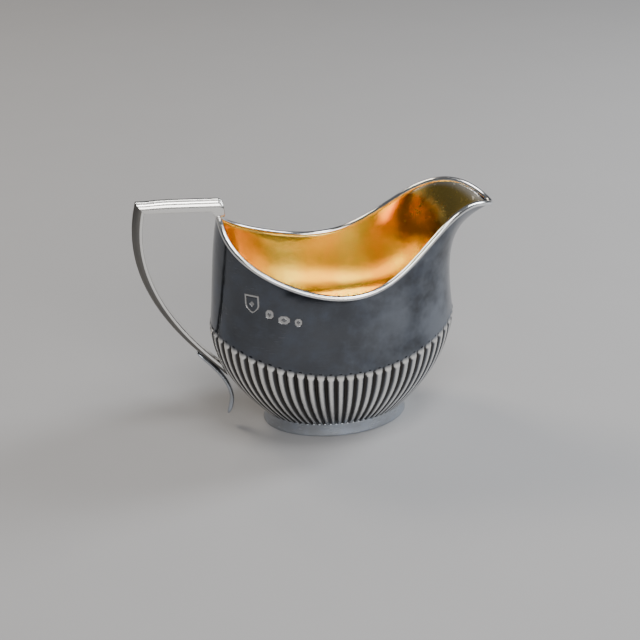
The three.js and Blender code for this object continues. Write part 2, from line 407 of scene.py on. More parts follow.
@dataclass(frozen=True)
class PunchMarks:
    """The row of plain struck marks under the rim: a shield and three small punches, none lettered.

    Attributes:
        shield: The shield's place in millimetres, round the wall from the spout and above the table,
            and half its width.
        small: The other punches' places, each with its half width and half height.
        depth: How deeply they are struck, in metres.
        taper: How fast the shield narrows to its point.
        squatness: The shield's half width over its height above the middle.
        inner_line: Between which distances the line round the shield rises, from its middle out.
        outer_line: Between which it falls again.
        diamond: Between which distances the diamond in the shield's middle falls and rises.
        corners: How far the small punches' corners are cut.
        rim: Between which distances a small punch's floor meets the wall.
        knob: Between which distances the knob in its middle falls to its floor.
    """

    shield: tuple[float, float, float] = (-91.7, 57.3, 2.8)
    small: tuple[tuple[float, float, float, float], ...] = (
        (-85.1, 54.5, 1.5, 1.7),
        (-79.9, 52.9, 2.1, 1.5),
        (-75.0, 52.2, 1.3, 1.4),
    )
    depth: float = 0.00022
    taper: float = 0.75
    squatness: float = 0.86
    inner_line: tuple[float, float] = (0.74, 0.84)
    outer_line: tuple[float, float] = (1.08, 0.98)
    diamond: tuple[float, float] = (0.42, 0.34)
    corners: float = 0.68
    rim: tuple[float, float] = (1.05, 0.88)
    knob: tuple[float, float] = (0.55, 0.4)

    def height(self, board: Board) -> Signal:
        """Gives the marks' relief, from distances that are 1 on each mark's outline.

        The shield's distance is the larger of its height and of its width plus a square of the way
        down. A punch's is the larger of its width, its height and a share of their sum.

        Args:
            board: The board that the nodes go on.

        Returns:
            The relief: 1 on the untouched wall, lower where metal was struck in.
        """
        around, up = board.trait("around"), board.trait("height")
        middle, level, half = self.shield
        across = abs(around - middle)
        down = (level - up) / half
        narrowing = across / half + (down.most(0.0) ** 2.0) * self.taper
        shape = narrowing.most(abs(down) * self.squatness)
        line = shape.rise(*self.inner_line) * shape.rise(*self.outer_line)
        diamond = (across / half + abs(down + 0.05)).rise(*self.diamond)
        struck = line.most(diamond * 0.6)
        for place, height, wide, tall in self.small:
            side, rise = abs(around - place) / wide, abs(up - height) / tall
            face = side.most(rise).most((side + rise) * self.corners)
            knob = (side + rise).rise(*self.knob)
            struck = struck.most(face.rise(*self.rim) * (1.0 - knob * 0.7))
        return 1.0 - struck


@dataclass(frozen=True)
class SilverFinish:
    """Old polished silver: clouded, scratched by polishing, darker in its grooves and paler on its crowns
    by dirt, wear, painted shade and painted highlights.

    Attributes:
        name: The material's name.
        polish: How brightly it was kept.
        marks: The struck marks, where the surface has them.
        worked: True where the mesh keeps how dark and how bright each point is painted: dirt and painted
            shade, wear and painted highlight.
        waviness: How far the surface wavers from hammer and handling, in metres.
        sheen: A painted highlight: the paler colour of a marked wall in clouded patches towards the spout.
        clouded: The share of the polish's colour left where it has clouded over.
        bluing: What its colour is multiplied by where it has bloomed.
        grime_and_shade: The colour in the grooves, partly dirt and partly painted shade.
        bright: The colour on the crowns, partly polished by wear and partly painted highlight.
        punch_glint: The colour of struck metal, painted pale round each mark as a painted glint.
        strokes: The polishing lines' leanings in degrees, each with how fine it is.
    """

    name: str
    polish: Polish
    marks: PunchMarks | None = None
    worked: bool = False
    waviness: float = 0.00005
    sheen: tuple[float, float, float] = (0.29, 0.32, 0.37)
    clouded: float = 0.80
    bluing: tuple[float, float, float] = (1.15, 1.25, 1.42)
    grime_and_shade: tuple[float, float, float] = (0.045, 0.038, 0.03)
    bright: tuple[float, float, float] = (0.95, 0.94, 0.91)
    punch_glint: tuple[float, float, float] = (0.9, 0.89, 0.87)
    strokes: tuple[tuple[float, float], ...] = ((24.0, 2600.0), (-33.0, 3300.0), (63.0, 2900.0))

    def material(self) -> bpy.types.Material:
        """Builds the finish's nodes.

        Returns:
            The finished material.
        """
        board = Board(self.name)
        place = board.place()
        tone, roughness = self.polish.value
        clouds = board.noise(place, 45.0, 4.0, 0.6)
        bloom = board.noise(place, 160.0, 5.0, 0.65)
        dull = tuple(self.clouded * part for part in tone)
        colour = board.blend(clouds.rise(0.35, 0.7), dull, tone)
        cool = tuple(part * tint for part, tint in zip(tone, self.bluing))
        colour = board.blend(bloom.rise(0.38, 0.78) * 0.6, colour, cool)
        if self.marks is not None:
            along, _, _ = board.axes(place)
            # Painted highlight: the wall is painted paler in clouded patches that rise towards the spout.
            sheen_patch = (along * 1000.0 + bloom * 20.0).rise(8.0, 44.0) * clouds.rise(0.30, 0.62)
            colour = board.blend(sheen_patch * 0.75, colour, self.sheen)
        scratches = self._scratches(board, place)
        glint = tuple(min(1.0, 1.9 * part) for part in tone)
        colour = board.blend(scratches * 0.3, colour, glint)
        rough = roughness + clouds.rise(0.3, 0.75) * 0.07 + scratches * 0.12
        if self.worked:
            # Painted shade and highlight: the grooves are painted near black and the crowns near white,
            # partly dirt and wear.
            soot_and_shade = board.trait("soot_and_shade") * (0.8 + 0.2 * bloom)
            colour = board.blend(soot_and_shade * 0.94, colour, self.grime_and_shade)
            colour = board.blend(board.trait("rubbed_and_highlit"), colour, self.bright)
            rough = rough + soot_and_shade * 0.2
        waves = board.noise(place, 70.0, 2.0)
        normal = board.bump(waves, 1.0, self.waviness * 6)
        normal = board.bump(scratches, 0.28, 0.00002, normal)
        if self.marks is not None:
            relief = self.marks.height(board)
            normal = board.bump(relief, 1.0, self.marks.depth, normal)
            # Painted highlight: the struck marks are painted pale round their edges, as glints.
            colour = board.blend((1.0 - relief) * 0.5, colour, self.punch_glint)
        board.shader.inputs["Metallic"].default_value = 1.0
        return board.finish({"Base Color": colour, "Roughness": rough, "Normal": normal})

    def _scratches(self, board: Board, place: object) -> Signal:
        """Gives fine polishing lines: noise drawn out along leaning directions, kept in patches.

        Args:
            board: The board that the nodes go on.
            place: The Object coordinates.

        Returns:
            How strongly a line shows, from 0 to 1.
        """
        lines = None
        for lean, fine in self.strokes:
            way = board.turned(place, (0.0, lean, 12.0), (60.0, 400.0, fine))
            line = board.noise(way, 1.0, 2.0, 0.6).rise(0.62, 0.74)
            lines = line if lines is None else lines.most(line)
        patches = board.noise(place, 120.0, 2.0).rise(0.38, 0.66)
        return lines * patches


@dataclass(frozen=True)
class GiltFinish:
    """Worn gilding: warm gold, olive and spotted by the spout, pale and bare along the rim, and crossed by
    two upright pale stripes that are painted reflections of light.

    Attributes:
        name: The material's name.
        gold: The colour of sound gilding.
        thin_and_reflected: The colour where the gilding has faded, and of the painted reflection stripes.
        stain: The olive colour near the spout.
        spot: The colour of the dark spots.
        reflection_bands: Upright pale stripes, painted reflections of light: each one's place along the
            bowl and
        reach, both in millimetres, and how strongly it shows, from 0 to 1.
        bare: The colour of the edge by the rim, where the gilding has gone.
        bare_levels: Between which levels of the wall it goes.
    """

    name: str = "worn_gilding_with_painted_reflections"
    gold: tuple[float, float, float] = (1.0, 0.66, 0.10)
    thin_and_reflected: tuple[float, float, float] = (1.0, 0.92, 0.52)
    stain: tuple[float, float, float] = (0.50, 0.38, 0.12)
    spot: tuple[float, float, float] = (0.07, 0.04, 0.015)
    reflection_bands: tuple[tuple[float, float, float], ...] = ((-8.0, 12.0, 0.8), (19.0, 9.0, 1.0))
    bare: tuple[float, float, float] = (0.93, 0.90, 0.84)
    bare_levels: tuple[float, float] = (1.93, 1.985)

    def material(self) -> bpy.types.Material:
        """Builds the finish's nodes.

        Returns:
            The finished material.
        """
        board = Board(self.name)
        place = board.place()
        along, _, _ = board.axes(place)
        clouds = board.noise(place, 55.0, 5.0, 0.6)
        specks = board.noise(place, 520.0, 3.0, 0.7)
        drift = along * 1000.0 + (clouds - 0.5) * 6.0
        colour = self.gold
        # Painted reflection: upright pale stripes across the bowl stand for bright light reflected in the
        # gilding.
        for middle, reach, band_strength in self.reflection_bands:
            across = abs(drift - middle) / reach
            colour = board.blend(across.rise(1.0, 0.15) * band_strength, colour, self.thin_and_reflected)
        colour = board.blend(clouds.rise(0.5, 0.9) * 0.2, colour, self.thin_and_reflected)
        spout = (along * 1000.0 + clouds * 26.0).rise(42.0, 62.0)
        colour = board.blend(spout * 0.85, colour, self.stain)
        spots = specks.rise(0.60, 0.70) * (0.15 + 0.85 * spout)
        colour = board.blend(spots * 0.75, colour, self.spot)
        edge = board.trait("level").rise(*self.bare_levels)
        colour = board.blend(edge * 0.8, colour, self.bare)
        rough = 0.12 + clouds.rise(0.35, 0.8) * 0.04 + spots * 0.25 + spout * 0.12
        normal = board.bump(board.noise(place, 90.0, 2.0), 1.0, 0.00006)
        normal = board.bump(specks, 0.15, 0.00001, normal)
        board.shader.inputs["Metallic"].default_value = 1.0
        return board.finish({"Base Color": colour, "Roughness": rough, "Normal": normal})


@dataclass(frozen=True)
class TableFinish:
    """A plain pale table, faintly mottled.

    Attributes:
        name: The material's name.
        tone: Its colour.
    """

    name: str = "pale_table"
    tone: tuple[float, float, float] = (0.38, 0.38, 0.39)

    def material(self) -> bpy.types.Material:
        """Builds the finish's nodes.

        Returns:
            The finished material.
        """
        board = Board(self.name)
        mottle = board.noise(board.place(), 30.0)
        pale = tuple(1.04 * part for part in self.tone)
        colour = board.blend(mottle, self.tone, pale)
        board.shader.inputs["Roughness"].default_value = 0.75
        return board.finish({"Base Color": colour})


# ---------------------------------------------------------------------------- the jug's form


@dataclass(frozen=True)
class JugForm:
    """The curves that carry the jug's wall, and the wall itself.

    The lower edge and the flutes' tops are ovals. The rim is a closed curve whose three coordinates
    are short cosine and sine series. Angle t is 0 at the spout and half a turn at the handle.

    Attributes:
        edge_length: Half the lower edge's length, where the body meets the foot.
        edge_width: Half its width.
        edge_height: Its height.
        tops_middle: The middle along the jug of the oval through the flutes' tops.
        tops_length: Half that oval's length.
        tops_width: Half its width.
        tops_height: Its height half way between its ends and its sides.
        tops_rise: How far its ends rise above that, and its sides fall below.
        tops_tilt: Half of what its spout end rises above its handle end.
        flare: The power that the fluted wall goes out by.
        rim_along: The rim's cosine series along the jug.
        rim_across: Its sine series across.
        rim_up: Its cosine series up.
        rim_lead: How far its angle runs ahead of t, as a sine of t and one of 2t.
        front_power: The power that the plain wall goes out by at the spout.
        side_power: The same at the sides.
        back_power: The same at the handle.
        front_waist: How far the plain wall leans inwards half way up at the spout.
        back_waist: The same at the handle.
        flutes: The number of flutes.
        evenness: The shift of angle that spaces them evenly along the oval.
        crown: How far a flute stands out from the wall.
        groove: How deep the groove between two lies.
        cap: The dome's length over half a flute's width.
        arc: The share of a half circle's width that a flute's section takes up.
        pinch: How far the section narrows along the dome.
        fall: The power that it falls by along the dome.
        foot_relief: The share of the relief left at the foot.
        fluted_end: Between which levels the grooves die out.
        grimy_and_shaded: Between which heights of the section the dirt and painted shade die out.
        grimy_and_shaded_dome: The same on a dome.
        rubbed_and_highlit: Between which heights the metal polished by wear and painted with highlights
            begins.
        rubbed_and_highlit_dome: The same on a dome, where the painted highlight spreads over it.
        dome_start: How far along the dome the dirt, wear, painted shade and painted highlight have become a
            dome's own.
        wire: The rim wire's radius.
    """

    edge_length: float = 25.58
    edge_width: float = 16.39
    edge_height: float = 4.92
    tops_middle: float = -1.05
    tops_length: float = 42.7
    tops_width: float = 28.02
    tops_height: float = 37.47
    tops_rise: float = 4.76
    tops_tilt: float = 0.16
    flare: float = 2.1
    rim_along: tuple[float, ...] = (4.2, 48.02, 1.32, -0.63, 1.71, -0.28)
    rim_across: tuple[float, ...] = (0.0, 23.55, -0.73, -1.37, 0.25, -0.03)
    rim_up: tuple[float, ...] = (72.65, 2.66, 9.81, -3.72, -2.71, -0.93)
    rim_lead: tuple[float, float] = (0.12, 0.11)
    front_power: float = 7.0
    side_power: float = 2.8
    back_power: float = 3.4
    front_waist: float = 1.6
    back_waist: float = 0.9
    flutes: int = 66
    evenness: float = 0.1
    crown: float = 0.62
    groove: float = 0.68
    cap: float = 1.7
    arc: float = 0.985
    pinch: float = 0.95
    fall: float = 2.5
    foot_relief: float = 0.5
    fluted_end: tuple[float, float] = (0.955, 0.995)
    grimy_and_shaded: tuple[float, float] = (0.60, 0.99)
    grimy_and_shaded_dome: tuple[float, float] = (0.0, 0.12)
    rubbed_and_highlit: tuple[float, float] = (0.84, 1.0)
    rubbed_and_highlit_dome: tuple[float, float] = (0.0, 0.3)
    dome_start: float = 0.7
    wire: float = 0.94

    def lower_edge(self, t: np.ndarray) -> np.ndarray:
        """The oval where the body meets the foot: a cosine along, a sine across and a level height."""
        level = np.full_like(t, self.edge_height)
        return np.stack([self.edge_length * np.cos(t), self.edge_width * np.sin(t), level], -1)

    def flute_top(self, t: np.ndarray) -> np.ndarray:
        """The oval through the flutes' tops, which rises at both ends as the cosine of 2t.

        Args:
            t: Angles round the jug.

        Returns:
            Points in millimetres.
        """
        along = self.tops_middle + self.tops_length * np.cos(t)
        up = self.tops_height + self.tops_tilt * np.cos(t) + self.tops_rise * np.cos(2 * t)
        return np.stack([along, self.tops_width * np.sin(t), up], -1)

    def rim(self, t: np.ndarray) -> np.ndarray:
        """The rim's curve: cosine series along and up, a sine series across, of an angle led by t.

        Args:
            t: Angles round the jug.

        Returns:
            Points in millimetres.
        """
        turn = t + self.rim_lead[0] * np.sin(t) + self.rim_lead[1] * np.sin(2 * t)
        waves = turn[..., None] * np.arange(len(self.rim_up))
        along = np.cos(waves) @ np.array(self.rim_along)
        across = np.sin(waves) @ np.array(self.rim_across)
        return np.stack([along, across, np.cos(waves) @ np.array(self.rim_up)], -1)

    def wall(self, t: np.ndarray, level: np.ndarray) -> np.ndarray:
        """The wall's outside without flutes.

        Below the flutes' tops a point goes out as a power of the sine, and up as one less the cosine,
        of a quarter turn. Above them it goes up evenly and out to the rim as a power of the height,
        with a slight lean inwards half way.

        Args:
            t: Angles round the jug.
            level: 0 at the foot, 1 at the flutes' tops, 2 at the rim.

        Returns:
            Points in millimetres, one for each pair.
        """
        edge, top, rim = self.lower_edge(t), self.flute_top(t), self.rim(t)
        swing = np.clip(level, 0, 1) * np.pi / 2
        out, up = np.sin(swing) ** self.flare, 1 - np.cos(swing)
        low = edge + (top - edge) * np.stack([out, out, up], -1)
        share = np.clip(level - 1, 0, 1)
        front = (1 + np.cos(t)) / 2
        power = mix(self.side_power, mix(self.back_power, self.front_power, front), np.cos(t) ** 2)
        sweep = share**power
        waist = self.front_waist * front**2 + self.back_waist * (1 - front) ** 2
        facing = np.stack([np.cos(t) / self.tops_length, np.sin(t) / self.tops_width, 0 * t], -1)
        lean = unit(facing) * (waist * np.sin(np.pi * share))[..., None]
        return low + (rim - top) * np.stack([sweep, sweep, share], -1) - lean

    def normal(self, t: np.ndarray, level: np.ndarray) -> np.ndarray:
        """The wall's outward direction, the cross product of its slopes round and up.

        Args:
            t: Angles round the jug.
            level: Levels up the wall.

        Returns:
            Unit vectors.
        """
        around = self.wall(t + STEP, level) - self.wall(t - STEP, level)
        low, high = np.clip(level - STEP, 0, 2), np.clip(level + STEP, 0, 2)
        return unit(np.cross(around, self.wall(t, high) - self.wall(t, low)))

    def lobe(self, t: np.ndarray, level: np.ndarray) -> tuple[np.ndarray, np.ndarray]:
        """How far up a flute's round section a point lies, and how far along its domed top.

        The section is an arc: the root of 1 less the square of the place across. Along the dome that
        place is divided by a number that shrinks, so the arc narrows, and the arc is multiplied by 1
        less a power of the way along the dome, so it falls.

        Args:
            t: Angles round the jug.
            level: Levels up the wall.

        Returns:
            The height in the section, 1 on the crown and 0 in the groove, and the way along the dome,
            0 below it, 1 at its end and 2 on the plain wall.
        """
        even = t - self.evenness * np.sin(2 * t)
        share = even * self.flutes / TURN
        across = 2 * (share - np.floor(share)) - 1
        below = np.linalg.norm(self.wall(t, np.ones_like(t)) - self.wall(t, level), axis=-1)
        end = np.where(level > 1, 2.0, np.clip(1 - below / (self.cap * self.half_width), 0, 1))
        inside = np.sqrt(1 - self.pinch * np.clip(end, 0, 1) ** 2)
        narrowed = np.clip(np.abs(across) / inside, 0, 1)
        arc = np.sqrt(1 - (self.arc * narrowed) ** 2)
        floor = math.sqrt(1 - self.arc**2)
        fall = 1 - np.clip(end, 0, 1) ** self.fall
        return (arc - floor) / (1 - floor) * fall, end

    @property
    def half_width(self) -> float:
        """Half a flute's width at its top: its share of the oval's length, by the usual close formula.

        Returns:
            Millimetres.
        """
        length, width = self.tops_length, self.tops_width
        around = np.pi * (3 * (length + width) - math.sqrt((3 * length + width) * (length + 3 * width)))
        return around / self.flutes / 2

    def relief(self, t: np.ndarray, level: np.ndarray) -> np.ndarray:
        """How far the fluted sheet stands out: the crown by its section, less the groove by the rest.

        Args:
            t: Angles round the jug.
            level: Levels up the wall.

        Returns:
            Millimetres, less than nothing in a groove.
        """
        lobe, _ = self.lobe(t, level)
        size = mix(self.foot_relief, 1.0, np.sin(np.clip(level, 0, 1) * np.pi / 2))
        return size * (self.crown * lobe - self.groove * (1 - lobe) * self.fluted(level))

    def fluted(self, level: np.ndarray) -> np.ndarray:
        """1 on the flutes and 0 on the plain wall."""
        return 1 - smooth(*self.fluted_end, level)

    def wear(self, t: np.ndarray, level: np.ndarray) -> tuple[np.ndarray, np.ndarray]:
        """How dark the grooves and how bright the crowns are painted, each from 0 to 1: dirt and painted
        shade, wear and painted highlight.

        Along a flute only its crown is made bright. Towards its domed top the bright part spreads over
        the whole dome, as a painted highlight.

        Args:
            t: Angles round the jug.
            level: Levels up the wall.

        Returns:
            The dirt and painted shade, and the wear and painted highlight.
        """
        # The grooves are painted dark and the crowns pale: partly dirt and wear, partly painted shade and
        # painted highlight.
        lobe, end = self.lobe(t, level)
        near = smooth(0.0, self.dome_start, end)
        grimy_and_shaded = [mix(plain, dome, near) for plain, dome in zip(self.grimy_and_shaded, self.grimy_and_shaded_dome)]
        rubbed_and_highlit = [mix(plain, dome, near) for plain, dome in zip(self.rubbed_and_highlit, self.rubbed_and_highlit_dome)]
        fluted = self.fluted(level)
        return (1 - smooth(*grimy_and_shaded, lobe)) * fluted, smooth(*rubbed_and_highlit, lobe) * fluted

    def flute_angles(self, fineness: int) -> np.ndarray:
        """Angles round the jug, with fineness of them to each flute, spaced evenly along the oval."""
        turn = np.arange(self.flutes * fineness) / (self.flutes * fineness) * TURN
        return turn + self.evenness * np.sin(2 * turn)


# ---------------------------------------------------------------------------- the body


@dataclass(frozen=True)
class Body:
    """The raised sheet, its gilt inside and the wire round its rim.

    Attributes:
        shop: Makes the meshes.
        form: The jug's form.
        fineness: Columns to each flute.
        skin: How deep the silver's inner face lies.
        gilt_face: How deep the gilding's open face lies behind the plain wall.
        gilt_low: How deep it lies behind the fluted wall.
        gilt_skin: The gilding's thickness.
        softness: The share of the flutes' relief that shows inside.
        floor_level: Where the wall meets the bowl's floor.
        dome: How far the floor rises in its middle.
        sheet_top: The level that the silver ends at, just under the rim.
        gilt_top: The level that the gilding ends at.
        plain_start: The level where the plain wall's rows start.
    """

    shop: Workshop
    form: JugForm
    fineness: int = 10
    skin: float = 0.3
    gilt_face: float = 0.6
    gilt_low: float = 0.84
    gilt_skin: float = 0.1
    softness: float = 0.35
    floor_level: float = 0.17
    dome: float = 0.6
    sheet_top: float = 1.99
    gilt_top: float = 1.985
    plain_start: float = 1.02

    def sheet(self, material: bpy.types.Material) -> bpy.types.Object:
        """The silver sheet: the wall carried up over the flutes to the rim, and back down inside.

        Args:
            material: What it is dressed in.

        Returns:
            The finished piece.
        """
        plain = self._plain_levels(40, self.sheet_top)
        flutes, domes = np.linspace(0, 0.86, 32), np.linspace(0.866, 1.01, 30)
        outer = np.concatenate([flutes, domes, plain])
        inner = np.concatenate([self._plain_levels(24, self.sheet_top)[::-1], np.linspace(0.95, 0.0, 12)])
        levels = np.concatenate([outer, inner])
        insets = np.concatenate([np.zeros(len(outer)), np.full(len(inner), self.skin)])
        t, level = np.meshgrid(self.form.flute_angles(self.fineness), levels)
        points = self._layer(t, level, insets[:, None], 1.0)
        traits = self._traits(t, level)
        return self.shop.piece("fluted_sheet", points, material, hoop=True, traits=traits)

    def lining(self, material: bpy.types.Material) -> bpy.types.Object:
        """The gilt inside: the wall set in, from the floor's middle up to the rim and back behind.

        Args:
            material: What it is dressed in.

        Returns:
            The finished piece.
        """
        bowl, bowl_back = np.linspace(self.floor_level, 1.0, 40), np.linspace(0.95, self.floor_level, 12)
        face = np.concatenate([bowl, self._plain_levels(44, self.gilt_top)])
        back = np.concatenate([self._plain_levels(24, self.gilt_top)[::-1], bowl_back])
        levels = np.concatenate([face, back])
        insets = mix(self.gilt_low, self.gilt_face, smooth(0.93, 1.06, levels))
        insets[len(face) :] -= self.gilt_skin
        t, level = np.meshgrid(self.form.flute_angles(8), levels)
        share = self.softness * smooth(self.floor_level, self.floor_level + 0.2, level)
        side = self._layer(t, level, insets[:, None], share)
        rings = 14
        shares = np.linspace(0.03, 0.97, rings)
        floor = self._floor(side[0], shares, 0.0)
        under = self._floor(side[-1], shares[::-1], -self.gilt_skin / 2)
        points = np.concatenate([floor, side, under])
        reach = np.concatenate([np.full(rings, levels[0]), levels, np.full(rings, levels[-1])])
        traits = {"level": np.broadcast_to(reach[:, None], points.shape[:2])}
        return self.shop.piece("gilt_lining", points, material, traits=traits)

    def rim_wire(self, material: bpy.types.Material) -> bpy.types.Object:
        """The round wire: a circle carried square to the rim, turned by the wall's own slope.

        Args:
            material: What it is dressed in.

        Returns:
            The finished piece.
        """
        stations, sides = 540, 22
        t = np.arange(stations) / stations * TURN
        along = unit(self.form.rim(t + STEP) - self.form.rim(t - STEP))
        out = self.form.normal(t, np.full_like(t, 2.0))
        out = unit(out - along * (out * along).sum(-1, keepdims=True))
        up = np.cross(out, along)
        turn = np.arange(sides)[:, None, None] / sides * TURN
        ring = out * np.cos(turn) - up * np.sin(turn)
        points = self.form.rim(t) + self.form.wire * ring
        return self.shop.piece("bright_rim_wire", points[::-1], material, hoop=True)

    def _plain_levels(self, count: int, top: float) -> np.ndarray:
        """Levels up the plain wall, closer together towards the rim where the wall swings out."""
        return self.plain_start + (top - self.plain_start) * (1 - np.linspace(1, 0, count) ** 1.7)

    def _layer(
        self, t: np.ndarray, level: np.ndarray, inset: np.ndarray, share: np.ndarray | float
    ) -> np.ndarray:
        """The wall's points, moved out by a share of the flutes' relief and in by an inset."""
        lift = self.form.relief(t, level) * share - inset
        return self.form.wall(t, level) + self.form.normal(t, level) * lift[..., None]

    def _floor(self, ring: np.ndarray, shares: np.ndarray, lift: float) -> np.ndarray:
        """Rings from a ring's middle outwards, rising towards it as one less the share squared.

        Args:
            ring: The outermost ring's points.
            shares: How far out each ring lies, from 0 to 1.
            lift: How far all of them are raised.

        Returns:
            Points in millimetres, shaped (rings, columns, 3).
        """
        middle = ring.mean(0)
        share = shares[:, None, None]
        points = middle + (ring - middle) * share
        points[..., 2] += self.dome * (1 - share[..., 0] ** 2) + lift
        return points

    def _traits(self, t: np.ndarray, level: np.ndarray) -> dict[str, np.ndarray]:
        """The wall's dirt, wear, painted shade and painted highlight, and each point's place round it and
        up.

        The place round is the length of the row half way up the plain wall, from the spout.

        Args:
            t: Angles round the jug.
            level: Levels up the wall.

        Returns:
            The mesh's numbers for the sheet.
        """
        wall = self.form.wall(t, level)
        ring = self.form.wall(t, np.full_like(t, 1.5))
        stride = np.linalg.norm(np.diff(ring, axis=1, append=ring[:, :1]), axis=-1)
        around = np.cumsum(stride, axis=1) - stride
        whole = stride.sum(axis=1, keepdims=True)
        around = np.where(around > whole / 2, around - whole, around)
        soot_and_shade, rubbed_and_highlit = self.form.wear(t, level)
        return {"soot_and_shade": soot_and_shade, "rubbed_and_highlit": rubbed_and_highlit, "around": around, "height": wall[..., 2]}


@dataclass(frozen=True)
class Foot:
    """The plain oval band under the body.

    Attributes:
        shop: Makes the meshes.
        length: Half its length at the table.
        width: Half its width at the table.
        height: Its height.
        taper: How far its top lies inside its base.
        thickness: The band's thickness at the table.
        top_thickness: Its thickness at the top.
        hollow: How far its outer face is hollowed.
        edge: The radius of its lower edges.
        top_edge: The radius of its upper edge.
    """

    shop: Workshop
    length: float = 26.06
    width: float = 16.8
    height: float = 4.9
    taper: float = 0.5
    thickness: float = 1.8
    top_thickness: float = 1.1
    hollow: float = 0.16
    edge: float = 0.35
    top_edge: float = 0.25

    def band(self, material: bpy.types.Material) -> bpy.types.Object:
        """The band: an outline of insets and heights carried round the oval.

        Its outer face leans in as a power of the height and is hollowed by a sine of it. Its edges
        are quarter circles.

        Args:
            material: What it is dressed in.

        Returns:
            The finished piece.
        """
        turn, rise = np.linspace(0, np.pi / 2, 6), np.linspace(0, 1, 12)
        near, far = 1 - np.cos(turn), 1 - np.sin(turn)
        lean = self.taper * rise**0.8 + self.hollow * np.sin(np.pi * rise)
        outside = np.stack([lean, mix(self.edge, self.height - self.top_edge, rise)], -1)
        foot = np.stack([self.edge * far, self.edge * near], -1)
        crest = np.stack([self.taper + self.top_edge * near, self.height - self.top_edge * far], -1)
        back = mix(self.taper + self.top_thickness, self.thickness, rise)
        inside = np.stack([back, mix(self.height, self.edge, rise)], -1)
        heel = np.stack([self.thickness - self.edge * near, self.edge * far], -1)
        outline = np.concatenate([foot[:-1], outside[:-1], crest, inside[:-1], heel[:-1]])
        stations = 300
        t = np.arange(stations) / stations * TURN
        inset, up = outline[:, :1], outline[:, 1:]
        along, across = (self.length - inset) * np.cos(t), (self.width - inset) * np.sin(t)
        points = np.stack([along, across, up + 0 * t], -1)
        return self.shop.piece("oval_foot_band", points, material, hoop=True)


# ---------------------------------------------------------------------------- the handle


